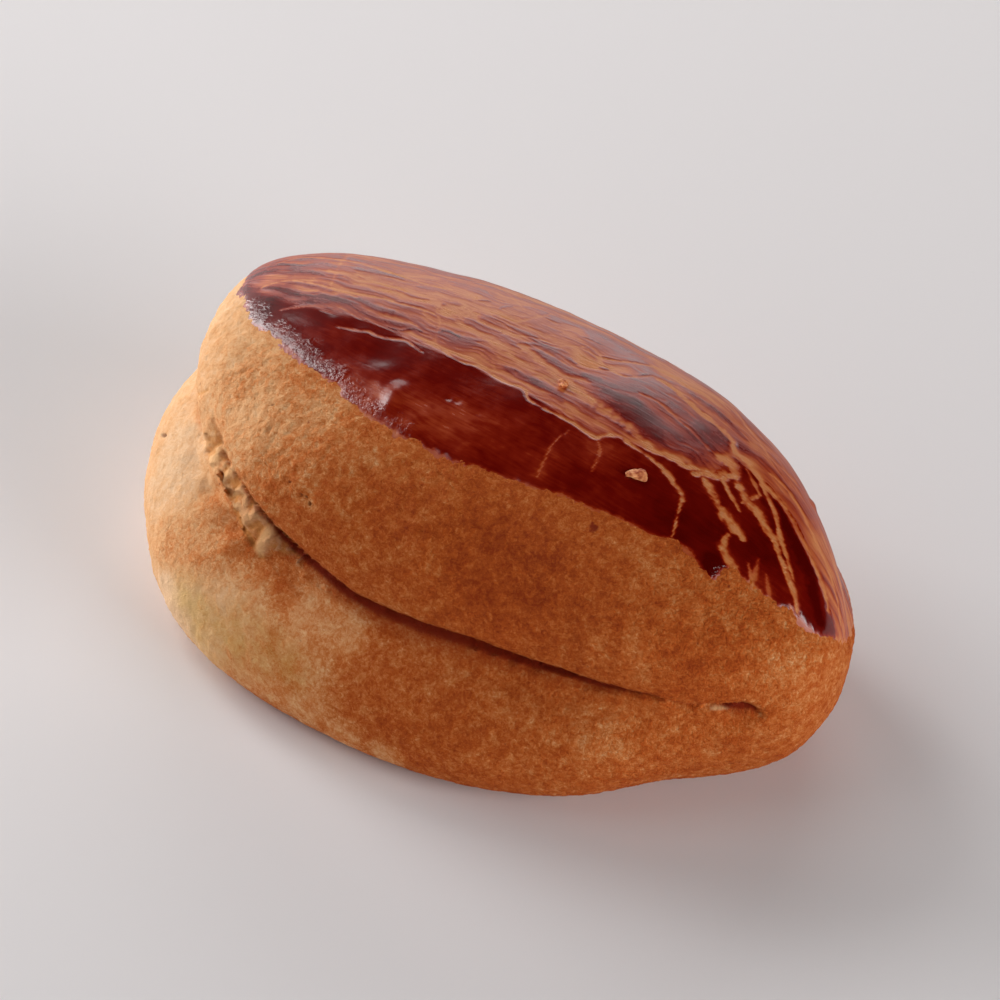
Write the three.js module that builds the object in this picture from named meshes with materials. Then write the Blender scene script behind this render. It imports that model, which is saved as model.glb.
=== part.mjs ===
// A cheese pogaca: a disc of soft yeast dough folded over its filling and baked.
// The fold runs along the back, and the open edges lie on each other at the front,
// so the bun has a lower lip, a seam with an overhanging upper lip, and a long dome.
// Millimetres. +X is the right end of the long axis, +Y the folded back, +Z up.
// The origin is on the table, under the middle of the bun.

import * as THREE from 'three';
import { ParametricGeometry } from 'three/addons/geometries/ParametricGeometry.js';

// ---- Driving sizes ----

const bunHeight = 44;

// The surface is swept round a rounded oblong, one profile for each ray from the middle.
const oblong = { halfLength: 59, halfWidth: 35, squareness: 2.2 };
const rayCount = 152;

// How far each lobe reaches, as a share of the oblong. Twelve rays, evenly spaced:
// the right end first, then round by the back, the left end and the front.
const lowerReach = [0.965, 0.975, 0.975, 0.97, 0.975, 0.985, 0.97, 0.955, 1.0, 0.965, 0.885, 0.83];
const upperReach = [0.945, 0.945, 0.965, 0.96, 0.96, 0.985, 0.85, 0.765, 0.79, 0.715, 0.675, 0.81];

// Heights on the right, back, left and front: the lower lobe's widest line, the seam,
// and the upper lobe's widest line.
const lowerRimHeight = [16, 19, 11.5, 5.5];
const seamHeight = [20.5, 20.5, 26.5, 19.5];
const upperRimHeight = [22, 26, 31, 25.5];

// The flat foot ends short of the lower rim, and a round of this squareness rises from it.
const footShare = [0.71, 0.78, 0.77, 0.83];
const footSquareness = 2.3;

// The dome is a superellipse from the upper rim to the top: squareness across and up.
const domeSpread = [2.05, 3.1, 3.0, 2.1];
const domeLift = [1.9, 2.6, 2.2, 2.0];

// The seam is open round the front, between these places in degrees round the oblong,
// and it closes over these stretches. On the rest of the round the dough is folded.
const seamOpening = { from: 163, fadeIn: 24, to: 336, fadeOut: 36 };
const lipOverhang = 3.4;

// The seam ends in a small pit where the two edges meet at the right.
const pit = { turn: 344, halfWidth: 4, depth: 2.6 };

// Torn strands of dough that still bridge the seam at the left end.
const strands = [
  { turn: 188, halfWidth: 4.2, fill: 0.55 },
  { turn: 198, halfWidth: 3.6, fill: 0.8 },
  { turn: 207, halfWidth: 4.4, fill: 0.6 },
  { turn: 216, halfWidth: 3.4, fill: 0.9 },
  { turn: 226, halfWidth: 5.0, fill: 0.75 },
  { turn: 236, halfWidth: 3.8, fill: 1.0 },
  { turn: 246, halfWidth: 3.2, fill: 0.4 },
];

// Gentle swells of the crust: waves round the bun, waves up it, size and start.
const swells = [
  { round: 3, up: 5, size: 0.3, start: 0.6 },
  { round: 5, up: 4, size: 0.22, start: 2.1 },
  { round: 8, up: 7, size: 0.14, start: 4.0 },
];

// Rows of facets along each stretch of a profile, from the middle of the base to the top.
const rows = { base: 2, foot: 7, lowerLip: 8, upperLip: 6, dome: 15 };

// Strands and pit show on this many rows either side of the seam.
const reliefRows = 3;

const crust = new THREE.MeshStandardMaterial({ color: 0xc98a4e, roughness: 0.75, metalness: 0 });

// ---- Helpers ----

const quarterTurn = Math.PI / 2;
const fullTurn = Math.PI * 2;
const eased = (x) => THREE.MathUtils.smoothstep(x, 0, 1);

// A smooth closed run through evenly spaced values, at a place round the oblong.
function roundAbout(values, turn) {
  const count = values.length;
  const place = (turn / fullTurn) * count;
  const step = Math.floor(place);
  const f = place - step;
  const [a, b, c, d] = [-1, 0, 1, 2].map((k) => values[(step + k + count) % count]);
  const slope = c - a;
  const bend = 2 * a - 5 * b + 4 * c - d;
  const twist = 3 * b - a - 3 * c + d;
  return 0.5 * (2 * b + slope * f + bend * f * f + twist * f * f * f);
}

// A smooth hump of height 1 at a place given in degrees.
function hump(turn, middle, halfWidth) {
  const away = Math.abs(THREE.MathUtils.radToDeg(turn) - middle) / halfWidth;
  return away < 1 ? Math.cos(away * quarterTurn) ** 2 : 0;
}

function oblongPoint(turn) {
  const share = 2 / oblong.squareness;
  const along = Math.cos(turn);
  const across = Math.sin(turn);
  return new THREE.Vector2(
    oblong.halfLength * Math.sign(along) * Math.abs(along) ** share,
    oblong.halfWidth * Math.sign(across) * Math.abs(across) ** share,
  );
}

// How open the seam is on a ray, from 0 where the dough is folded to 1.
function seamOpenness(turn) {
  const degrees = THREE.MathUtils.radToDeg(turn);
  const opening = eased((degrees - seamOpening.from) / seamOpening.fadeIn + 0.5);
  const closing = eased((seamOpening.to - degrees) / seamOpening.fadeOut + 0.5);
  return opening * closing;
}

// How much of the seam's depth torn strands fill on a ray.
function bridged(turn) {
  return strands.reduce((most, strand) => (
    Math.max(most, strand.fill * hump(turn, strand.turn, strand.halfWidth))
  ), 0);
}

// ---- The profile on one ray ----

// Everything that the profile needs to know about its ray.
function rayShape(turn) {
  const edge = oblongPoint(turn);
  const share = edge.length();
  const lower = share * roundAbout(lowerReach, turn);
  const upper = share * roundAbout(upperReach, turn);
  return {
    direction: edge.normalize(),
    lower,
    upper,
    foot: lower * roundAbout(footShare, turn),
    seam: upper - lipOverhang,
    lowerZ: roundAbout(lowerRimHeight, turn),
    seamZ: roundAbout(seamHeight, turn),
    upperZ: roundAbout(upperRimHeight, turn),
    spread: roundAbout(domeSpread, turn),
    lift: roundAbout(domeLift, turn),
    openness: seamOpenness(turn),
    relief: lipOverhang * bridged(turn) - pit.depth * hump(turn, pit.turn, pit.halfWidth),
  };
}

// The folded back and the right end: one smooth run from the lower rim to the upper one.
function foldedPoint(ray, share) {
  return new THREE.Vector2(
    THREE.MathUtils.lerp(ray.lower, ray.upper, eased(share)),
    THREE.MathUtils.lerp(ray.lowerZ, ray.upperZ, share),
  );
}

const lipRows = rows.lowerLip + rows.upperLip;
const rowCount = rows.base + rows.foot + lipRows + rows.dome;

// Radius and height of the profile at one row.
function profilePoint(ray, row) {
  if (row <= rows.base) {
    return new THREE.Vector2(ray.foot * row / rows.base, 0);
  }
  row -= rows.base;
  if (row <= rows.foot) {
    const rise = quarterTurn * row / rows.foot;
    const share = 2 / footSquareness;
    return new THREE.Vector2(
      ray.foot + (ray.lower - ray.foot) * Math.sin(rise) ** share,
      ray.lowerZ * (1 - Math.cos(rise) ** share),
    );
  }
  row -= rows.foot;
  if (row < lipRows) {
    const open = new THREE.Vector2();
    if (row <= rows.lowerLip) {
      const roll = quarterTurn * row / rows.lowerLip;
      open.x = ray.seam + (ray.lower - ray.seam) * Math.cos(roll);
      open.y = ray.lowerZ + (ray.seamZ - ray.lowerZ) * Math.sin(roll);
    } else {
      const roll = quarterTurn * (row - rows.lowerLip) / rows.upperLip;
      open.x = ray.seam + (ray.upper - ray.seam) * Math.sin(roll);
      open.y = ray.seamZ + (ray.upperZ - ray.seamZ) * (1 - Math.cos(roll));
    }
    const point = foldedPoint(ray, row / lipRows).lerp(open, ray.openness);
    point.x += ray.relief * Math.max(0, 1 - Math.abs(row - rows.lowerLip) / reliefRows);
    return point;
  }
  row -= lipRows;
  const climb = quarterTurn * row / rows.dome;
  return new THREE.Vector2(
    row === rows.dome ? 0 : ray.upper * Math.cos(climb) ** (2 / ray.spread),
    ray.upperZ + (bunHeight - ray.upperZ) * Math.sin(climb) ** (2 / ray.lift),
  );
}

// The swells fade out towards the table and the top, where all rays meet.
function swellAt(turn, share) {
  const wave = (swell) => (
    swell.size * Math.sin(swell.round * turn + swell.start) * Math.sin(swell.up * share * Math.PI)
  );
  const sum = swells.reduce((total, swell) => total + wave(swell), 0);
  return sum * Math.sin(share * Math.PI) ** 2;
}

// ---- The bun ----

function bunGeometry() {
  const surface = (around, along, target) => {
    const turn = (around % 1) * fullTurn;
    const row = Math.round(along * rowCount);
    const ray = rayShape(turn);
    const point = profilePoint(ray, row);
    const radius = point.x + swellAt(turn, point.y / bunHeight);
    target.set(ray.direction.x * radius, ray.direction.y * radius, point.y);
  };
  const geometry = new ParametricGeometry(surface, rayCount, rowCount);
  geometry.computeBoundingBox();
  const middle = geometry.boundingBox.getCenter(new THREE.Vector3());
  geometry.translate(-middle.x, -middle.y, 0);
  return geometry;
}

function bun() {
  const mesh = new THREE.Mesh(bunGeometry(), crust);
  mesh.name = 'pogaca';
  return mesh;
}

const part = new THREE.Group();
part.add(bun());

export default part;
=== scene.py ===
"""A cheese pogaca: a folded yeast bun with a matte, finely pored crust and a film of
dark, brushed, crackled egg wash over its top. Metres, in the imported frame."""

import math

import bpy
import numpy as np
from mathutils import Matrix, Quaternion, Vector, kdtree, noise


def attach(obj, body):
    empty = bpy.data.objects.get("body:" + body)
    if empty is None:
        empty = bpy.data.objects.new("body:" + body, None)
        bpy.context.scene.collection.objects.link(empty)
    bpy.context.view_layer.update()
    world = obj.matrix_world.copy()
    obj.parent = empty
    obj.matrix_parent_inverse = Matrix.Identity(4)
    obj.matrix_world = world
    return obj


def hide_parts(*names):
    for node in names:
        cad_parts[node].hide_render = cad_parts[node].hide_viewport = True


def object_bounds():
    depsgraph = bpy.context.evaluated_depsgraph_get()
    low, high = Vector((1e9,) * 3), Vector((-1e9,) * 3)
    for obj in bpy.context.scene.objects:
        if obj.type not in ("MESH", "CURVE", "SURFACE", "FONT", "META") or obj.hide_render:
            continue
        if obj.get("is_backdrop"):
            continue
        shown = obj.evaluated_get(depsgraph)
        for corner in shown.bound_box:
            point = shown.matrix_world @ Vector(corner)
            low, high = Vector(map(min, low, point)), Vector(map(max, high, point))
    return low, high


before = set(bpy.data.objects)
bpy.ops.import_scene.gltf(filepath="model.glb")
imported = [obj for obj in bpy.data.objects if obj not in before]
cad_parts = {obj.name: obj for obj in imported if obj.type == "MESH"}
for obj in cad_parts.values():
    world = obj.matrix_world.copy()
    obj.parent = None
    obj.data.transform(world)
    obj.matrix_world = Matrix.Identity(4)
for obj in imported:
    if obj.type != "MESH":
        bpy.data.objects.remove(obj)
cad_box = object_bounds()
bun_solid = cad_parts["pogaca"]

MM = 0.001

# ---- The photograph's camera ----

PHOTO_SIDE = 1000
PIXELS_PER_MM = 6.86
CAMERA_AZIMUTH = 33.77
CAMERA_ELEVATION = 44.32
CAMERA_DISTANCE = 650 * MM
SENSOR_WIDTH = 36.0

# The point over the middle of the foot that the photograph shows at this pixel.
BUN_MIDDLE = Vector((0, 0, 20 * MM))
BUN_MIDDLE_PIXEL = (485.3, 529.0)

# ---- The seam, in the photograph's pixels ----

# The upper lip's edge: its pixels, how far behind it the dough under it lies, how far
# down the shade reaches, and how wide the torn dough is, in millimetres.
LIP_EDGE = [
    ((207, 355), 0.6, 0.4, 0), ((210, 381), 2, 0.4, 0), ((216, 419), 4.2, 0.4, 1.6),
    ((222, 437), 4.8, 0.4, 2.8), ((229, 460), 5, 0.5, 2.6), ((240, 477), 5, 0.6, 2.6),
    ((256, 501), 4.8, 0.7, 3.2), ((275, 523), 4.8, 0.9, 3.6), ((296, 543), 5.4, 1.7, 2.2),
    ((319, 563), 3.4, 1.8, 0), ((349, 588), 2.6, 2, 0), ((373, 601), 2.5, 2.4, 0),
    ((422, 621), 2.5, 2.7, 0), ((471, 637), 2.4, 2.6, 0), ((496, 646), 2.2, 2.4, 0),
    ((531, 659), 1.9, 2, 0), ((562, 668), 1.8, 1.6, 0), ((593, 679), 1.7, 1.4, 0),
    ((625, 688), 1.3, 0.9, 0), ((656, 695), 0.8, 0.6, 0), ((668, 700), 0.5, 0.45, 0),
    ((690, 704), 0.5, 0.35, 0), ((712, 703), 1, 0.35, 0), ((733, 702), 2.2, 1.7, 0),
    ((745, 702), 2.2, 1.7, 0), ((755, 706), 1.1, 1.1, 0), ((767, 720), 0.3, 0.4, 0),
]

# Tears in the dough at the seam: first and last pixel, half width and depth in millimetres.
TEARS = [
    ((191, 397), (207, 390), 0.22, 0.25),
    ((209, 450), (219, 442), 0.40, 0.35),
    ((229, 491), (245, 497), 0.34, 0.75),
    ((236, 509), (247, 534), 0.50, 0.25),
    ((247, 534), (262, 556), 0.50, 0.30),
]

# Strands and lumps of torn dough: first and last pixel, half width and height in millimetres.
STRANDS = [
    ((223, 449), (216, 463), 0.55, 0.45),
    ((233, 469), (225, 479), 0.55, 0.45),
    ((258, 514), (247, 520), 0.85, 0.55),
    ((272, 530), (262, 549), 1.05, 0.65),
    ((289, 549), (295, 547), 0.24, 0.5),
    ((298, 563), (306, 556), 0.16, 0.6),
    ((712, 708), (728, 707), 0.34, 0.25),
]

# Open pores: pixel and radius in millimetres. They are pushed in a little, and their darkness is
# painted shade.
PORES = [
    ((272, 404), 0.20), ((289, 482), 0.24), ((301, 495), 0.22), ((305, 497), 0.18),
    ((309, 504), 0.24), ((163, 435), 0.34),
]

# ---- The glaze's near edge and the bare lines in it, in the photograph's pixels ----

GLAZE_NEAR_EDGE = [
    (241, 287), (244, 300), (249, 318), (258, 328), (272, 337), (285, 347), (303, 364), (325, 378),
    (335, 385), (345, 400), (360, 412), (372, 420), (400, 435), (450, 460), (485, 471),
    (520, 485), (560, 497), (600, 512), (620, 520), (650, 535), (672, 541), (690, 553),
    (697, 565), (705, 575), (715, 577), (723, 570), (735, 573), (757, 590), (770, 600),
    (785, 610), (800, 620), (815, 633), (828, 638), (850, 640),
]

# The far edge is out of the photograph's sight: places on the bun, in millimetres.
GLAZE_FAR_EDGE = [
    (55, 17, 19), (50, 24, 20), (40, 29, 23), (26, 33, 24), (10, 34, 25), (-6, 34, 26),
    (-20, 33, 27), (-33, 30, 28), (-44, 24, 30), (-50, 16, 33),
]

# Lines where little film lies: half width in mm at the middle, how bare, and the pixels
# that they run through, across and down by turns.
BARE_LINES = [
    (0.34, 0.8, 278, 264, 292, 260, 306, 258, 336, 260, 360, 264, 380, 270, 406, 278, 430, 286,
     452, 290),
    (0.26, 0.5, 290, 255, 320, 254, 350, 256, 380, 261, 412, 267, 440, 276, 470, 282, 500, 289,
     530, 297, 552, 306),
    (0.5, 0.65, 328, 271, 344, 273, 364, 277, 384, 283, 400, 288, 420, 295, 440, 303),
    (0.26, 0.95, 262, 288, 276, 283, 292, 281, 308, 283, 326, 287, 344, 292, 360, 295, 380, 298,
     400, 304, 420, 309, 436, 315),
    (0.36, 0.55, 280, 311, 296, 308, 314, 306, 326, 308),
    (0.22, 0.8, 336, 327, 348, 329, 358, 331, 368, 332, 380, 337, 392, 339, 406, 341, 414, 347,
     422, 352),
    (0.24, 0.9, 424, 343, 440, 349, 452, 357, 464, 363, 480, 367, 492, 375, 506, 383, 524, 389,
     528, 399, 540, 407, 560, 417),
    (0.16, 0.5, 441, 303, 437, 312, 440, 322, 438, 330),
    (1.5, 0.85, 446, 312, 458, 311, 476, 314),
    (0.6, 0.65, 456, 321, 470, 329, 490, 341, 506, 351, 520, 363, 536, 373, 552, 381, 562, 388),
    (0.3, 0.6, 478, 322, 500, 330, 520, 339, 545, 352, 570, 367),
    (0.26, 0.55, 500, 317, 520, 321, 540, 317, 552, 315),
    (0.2, 0.7, 500, 334, 520, 336, 540, 340, 557, 345, 576, 347, 586, 347),
    (0.8, 0.8, 520, 345, 535, 357, 549, 369, 569, 384, 589, 401, 603, 411, 623, 423, 638, 436,
     653, 450),
    (0.34, 0.9, 560, 417, 572, 423, 584, 431, 596, 438, 603, 436, 618, 436, 628, 443, 643, 453,
     653, 460),
    (0.12, 0.5, 596, 438, 600, 450, 596, 463, 591, 472),
    (0.14, 0.55, 569, 431, 554, 443, 545, 460, 537, 477),
    (0.42, 1, 650, 458, 664, 470, 674, 484, 682, 498, 678, 514),
    (0.24, 1, 680, 508, 678, 514, 675, 525, 672, 538),
    (0.55, 1, 645, 449, 660, 453, 674, 458, 685, 466, 701, 470),
    (0.8, 1, 695, 474, 706, 474, 720, 476, 735, 476),
    (0.66, 1, 703, 477, 714, 498, 720, 508),
    (0.85, 1, 718, 506, 726, 518, 735, 530, 743, 539),
    (0.36, 1, 721, 478, 730, 495, 739, 511),
    (1.1, 0.85, 719, 458, 730, 464, 737, 474),
    (0.75, 1, 735, 477, 745, 498, 758, 514, 769, 532, 778, 552),
    (0.52, 1, 776, 548, 787, 575, 794, 595, 797, 613),
    (0.45, 0.95, 758, 478, 769, 500, 775, 514, 779, 534, 787, 560, 793, 580),
    (0.4, 0.9, 742, 503, 750, 500, 760, 496),
    (0.3, 0.85, 746, 470, 754, 484, 760, 496),
    (0.6, 0.95, 731, 440, 735, 452, 746, 461, 758, 477, 769, 491, 783, 507, 794, 527, 805, 548,
     817, 573, 824, 593, 828, 611),
    (0.26, 0.6, 640, 394, 660, 404, 678, 420, 694, 434, 708, 450),
    (0.52, 0.95, 653, 377, 672, 388, 696, 409, 714, 423, 728, 436, 735, 450),
    (0.24, 0.8, 579, 347, 596, 357, 606, 367, 626, 377, 653, 377),
    (0.3, 0.75, 596, 357, 616, 361, 636, 364, 652, 367, 664, 371, 680, 379, 697, 387, 714, 397,
     729, 410),
    (0.34, 0.6, 731, 406, 746, 426, 758, 440, 770, 458, 785, 472, 797, 486),
    (1.4, 0.34, 744, 436, 757, 452, 770, 462, 787, 476, 800, 495, 811, 514, 822, 536, 833, 559,
     840, 585, 843, 606, 843, 630),
    (0.34, 0.8, 770, 474, 787, 490, 800, 510, 812, 534, 823, 558, 832, 582, 838, 606, 840, 626),
    (0.7, 0.95, 728, 536, 722, 548, 730, 562, 737, 580),
    (0.4, 0.7, 758, 559, 755, 572, 753, 586),
    (0.28, 0.7, 748, 564, 751, 578, 756, 594),
    (0.34, 0.6, 766, 575, 768, 588, 770, 600),
    (0.26, 0.7, 789, 604, 792, 612, 796, 620),
]

# Strokes where more film lies: half width in mm, how much more, and their pixels so too.
THICK_STROKES = [
    (0.5, 0.3, 272, 265, 300, 266, 320, 264, 336, 267, 360, 270, 390, 276, 402, 280),
    (0.55, 0.3, 252, 279, 270, 271, 300, 271, 324, 276),
    (0.45, 0.3, 286, 285, 300, 285, 314, 288, 330, 292),
    (0.75, 0.28, 270, 300, 296, 297, 320, 301, 344, 299, 360, 303, 380, 311, 404, 316),
    (0.2, 0.6, 388, 328, 400, 331, 414, 330, 422, 333),
    (0.18, 0.6, 438, 333, 448, 332, 460, 338),
    (0.14, 0.5, 476, 301, 484, 301, 490, 302),
    (0.14, 0.45, 500, 309, 506, 307, 512, 307),
    (0.4, 0.4, 520, 343, 540, 346, 556, 352, 575, 364),
    (0.55, 0.3, 506, 369, 520, 373, 536, 383, 550, 393, 562, 402),
    (0.3, 0.6, 599, 368, 604, 369, 608, 370),
    (0.9, 0.4, 585, 376, 600, 384, 620, 396, 640, 405),
    (1.4, 0.25, 640, 412, 660, 432, 680, 448, 702, 463),
    (0.8, 0.3, 668, 404, 690, 420, 710, 435, 728, 450),
    (0.6, 0.35, 672, 382, 690, 393, 705, 404, 724, 419, 746, 440),
    (0.45, 0.35, 734, 458, 746, 472, 757, 482),
    (0.5, 0.3, 760, 498, 768, 508),
    (1.1, 0.45, 776, 503, 787, 522, 798, 548, 808, 575, 815, 600, 820, 622),
    (0.2, 0.45, 603, 357, 612, 359, 621, 361),
    (0.2, 0.4, 581, 337, 590, 340, 601, 345),
    (0.2, 0.4, 638, 377, 644, 375, 650, 375),
]


def direction(azimuth, elevation):
    """The unit vector from the bun, by degrees round from its front and up from the table."""
    a, e = math.radians(azimuth), math.radians(elevation)
    return Vector((math.sin(a) * math.cos(e), -math.cos(a) * math.cos(e), math.sin(e)))


def photo_axes():
    """Unit vectors from the bun to the camera, to the picture's right and up it."""
    back = direction(CAMERA_AZIMUTH, CAMERA_ELEVATION)
    a = math.radians(CAMERA_AZIMUTH)
    right = Vector((math.cos(a), math.sin(a), 0))
    return back, right, back.cross(right)


TO_CAMERA, PICTURE_RIGHT, PICTURE_UP = photo_axes()


def beside_middle(pixel):
    """The point at a pixel, in the plane through the bun's middle that faces the camera."""
    across = (pixel[0] - BUN_MIDDLE_PIXEL[0]) / PIXELS_PER_MM * MM
    down = (pixel[1] - BUN_MIDDLE_PIXEL[1]) / PIXELS_PER_MM * MM
    return BUN_MIDDLE + PICTURE_RIGHT * across - PICTURE_UP * down


def picture_of(points):
    """The pixels at which the photograph shows points, and how far off they are, in mm."""
    out = points * MM - np.array(CAMERA_PLACE)
    far = -(out @ np.array(TO_CAMERA))
    enlarged = PIXELS_PER_MM / MM * CAMERA_DISTANCE / far
    across = out @ np.array(PICTURE_RIGHT) * enlarged
    up = out @ np.array(PICTURE_UP) * enlarged
    return np.stack([PHOTO_SIDE / 2 + across, PHOTO_SIDE / 2 - up], axis=1), far / MM


CAMERA_AIM = beside_middle((PHOTO_SIDE / 2, PHOTO_SIDE / 2))
CAMERA_PLACE = CAMERA_AIM + TO_CAMERA * CAMERA_DISTANCE


def add_camera():
    bpy.ops.object.camera_add(location=CAMERA_PLACE)
    camera = bpy.context.object
    camera.rotation_euler = (-TO_CAMERA).to_track_quat("-Z", "Y").to_euler()
    camera.data.sensor_width = SENSOR_WIDTH
    picture_width = PHOTO_SIDE / PIXELS_PER_MM * MM
    camera.data.lens = SENSOR_WIDTH * CAMERA_DISTANCE / picture_width
    bpy.context.scene.camera = camera


# ---- Modelling helpers ----


def choose(piece):
    """Only this piece is selected and active."""
    bpy.ops.object.select_all(action="DESELECT")
    piece.select_set(True)
    bpy.context.view_layer.objects.active = piece


def finished(piece, kind, **settings):
    """Gives the piece a modifier with these settings and applies it."""
    choose(piece)
    modifier = piece.modifiers.new(kind.lower(), kind)
    for name, value in settings.items():
        setattr(modifier, name, value)
    bpy.ops.object.modifier_apply(modifier=modifier.name)


def copy_of(piece, name):
    """A copy with its own mesh and none of the marks that tie a solid to its body."""
    copy = bpy.data.objects.new(name, piece.data.copy())
    bpy.context.scene.collection.objects.link(copy)
    return copy


def vectors(elements, name):
    flat = np.empty(len(elements) * 3, dtype=np.float32)
    elements.foreach_get(name, flat)
    return flat.reshape(-1, 3).astype(float)


def places(piece):
    """The vertices' places, in millimetres."""
    return vectors(piece.data.vertices, "co") / MM


def normals(piece):
    return vectors(piece.data.vertex_normals, "vector")


def put(piece, points):
    piece.data.vertices.foreach_set("co", (points * MM).astype(np.float32).ravel())
    piece.data.update()


def note(piece, **numbers):
    """Keeps numbers for each vertex, as named attributes for the finish."""
    for name, values in numbers.items():
        attribute = piece.data.attributes.new(name, "FLOAT", "POINT")
        attribute.data.foreach_set("value", np.asarray(values, dtype=np.float32))


WEIGHT_STEPS = 50


def group(piece, name, weights):
    """A vertex group with a weight from 0 to 1 for each vertex."""
    made = piece.vertex_groups.new(name=name)
    steps = np.round(np.clip(weights, 0, 1) * WEIGHT_STEPS).astype(int)
    for step in range(1, WEIGHT_STEPS + 1):
        chosen = np.nonzero(steps == step)[0]
        if len(chosen):
            made.add(chosen.tolist(), step / WEIGHT_STEPS, "REPLACE")
    return name


def thinned(piece, chosen, triangles):
    """Takes faces from the chosen group until the piece has about this many triangles."""
    piece.data.calc_loop_triangles()
    ratio = min(1, triangles / len(piece.data.loop_triangles))
    finished(piece, "DECIMATE", ratio=ratio, vertex_group=chosen)


def shaded_smooth(piece):
    choose(piece)
    bpy.ops.object.shade_smooth()
    return piece


def eased(values, start, end):
    """0 before start, 1 past end, and smooth between them."""
    share = np.clip((np.asarray(values, dtype=float) - start) / (end - start), 0, 1)
    return share * share * (3 - 2 * share)


def mixed(a, b, share):
    return a + (b - a) * share


# Each octave of grain is finer by this much, and weaker by this power of it.
OCTAVE_STEP = 2.0
OCTAVE_FADE = 0.51


def grain(points, size, seed, octaves=3):
    """Smooth noise of about -1 to 1 at each point, for features of this size."""
    shift = Vector((seed, seed * 1.7, seed * 2.3))
    return np.array([
        noise.fractal(Vector(p) + shift, OCTAVE_FADE, OCTAVE_STEP, octaves) for p in points / size
    ])


# ---- The bun's form, which carries crust and glaze ----

SAME_PLACE = 0.002 * MM
UNEVENNESS = 0.7 * MM
UNEVEN_SIZE = 13 * MM


def bun_form():
    """The solid's surface, merged and rounded, with the dough's gentle unevenness."""
    form = copy_of(bun_solid, "bun_form")
    choose(form)
    bpy.ops.mesh.customdata_custom_splitnormals_clear()
    bpy.ops.object.mode_set(mode="EDIT")
    bpy.ops.mesh.select_all(action="SELECT")
    bpy.ops.mesh.remove_doubles(threshold=SAME_PLACE)
    bpy.ops.mesh.tris_convert_to_quads()
    bpy.ops.object.mode_set(mode="OBJECT")
    finished(form, "SUBSURF", levels=3, render_levels=3)
    heights = places(form)[:, 2]
    unevenness = bpy.data.textures.new("unevenness", "CLOUDS")
    unevenness.noise_scale = UNEVEN_SIZE
    unevenness.noise_depth = 1
    above_foot = group(form, "above foot", eased(heights, 1, 8))
    finished(
        form, "DISPLACE", texture=unevenness, texture_coords="LOCAL",
        strength=UNEVENNESS, mid_level=0.5, vertex_group=above_foot,
    )
    return form


# A mark on the dough reaches this far: in the picture in pixels, in depth in millimetres.
MARK_REACH = 40
MARK_DEPTH = 6

# Below the upper lip's edge the lower lip is drawn up to it over this many pixels, and a
# crease this deep in millimetres stays between them.
LIP_REACH = 32
LIP_CREASE = 1.0

# The edge has a point at each step of this many pixels. Over these points it fades in,
# counted from its left end, and out, from its right one, and its torn stretch ends.
LIP_STEP = 2
LIP_FADE_IN = (22, 50)
LIP_FADE_OUT = (8, 1)
TORN_FADE_OUT = (105, 130)

# What lies beside the edge: from this many pixels above it, and no more than this many
# millimetres nearer or farther off than it.
LIP_ABOVE = 4
LIP_NEARER = 3
LIP_FARTHER = 20


def beside_lip(lip, points):
    """Which points lie by the upper lip's edge: where on it, pixels down, mm from the camera."""
    run, run_far, _ = lip
    seen, far = picture_of(points)
    low, high = run[:, :2].min(axis=0) - MARK_REACH, run[:, :2].max(axis=0) + MARK_REACH
    near = np.nonzero(np.all((seen > low) & (seen < high), axis=1))[0]
    flat = [np.pad(pixels, ((0, 0), (0, 1))) for pixels in (run[:, :2], seen[near])]
    away, which = nearest_in(*flat)
    ahead = np.gradient(run[:, :2], axis=0)[which]
    offset = seen[near] - run[which, :2]
    down = away * np.sign(ahead[:, 0] * offset[:, 1] - ahead[:, 1] * offset[:, 0])
    behind = far[near] - run_far[which]
    close = (down > -LIP_ABOVE) & (down < LIP_REACH)
    close &= (behind > -LIP_NEARER) & (behind < LIP_FARTHER)
    # Past the edge's two ends the nearest point is the end itself.
    close &= (which > 0) & (which < len(run) - 1)
    return near[close], which[close], down[close], far[near][close]


def lip_fade(lip, which):
    """The edge fades in at its left end and out at its right one."""
    count = len(lip[0])
    fade_out = [count - steps for steps in LIP_FADE_OUT]
    return eased(which, *LIP_FADE_IN) * (1 - eased(which, *fade_out))


def crease_shade(lip, points):
    """How much painted shade darkens the crease under the upper lip at each point."""
    near, which, down, _ = beside_lip(lip, points)
    below, reach = down / PIXELS_PER_MM, lip[0][which, 3]
    shade = np.zeros(len(points))
    core = 1 - eased(below, 0.25 * reach, 1.15 * reach)
    halo = 0.5 * (1 - eased(below, 0.4 * reach, 2.3 * reach))
    dark = eased(below, -0.12, 0.10) * np.maximum(core, halo)
    shade[near] = dark * np.minimum(1, reach / 1.2) * lip_fade(lip, which)
    return shade


def torn_dough(lip, points):
    """Where the dough is torn, and how much it stands up there: two numbers a point."""
    near, which, down, _ = beside_lip(lip, points)
    below, width = down / PIXELS_PER_MM, lip[0][which, 4]
    inside = eased(below, 0, 0.4) * (1 - eased(below, width - 0.35, width + 0.25)) * (width > 0.3)
    drawn = np.stack([which / 4.2, below / 2.4, 0 * below], axis=1)
    lumps = grain(drawn, 1.0, 4.0, octaves=2) + 0.2 * grain(points[near], 0.9, 6.0)
    torn, lump = np.zeros(len(points)), np.zeros(len(points))
    torn[near] = inside * lip_fade(lip, which)
    lump[near] = lumps
    return torn, lump


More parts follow.
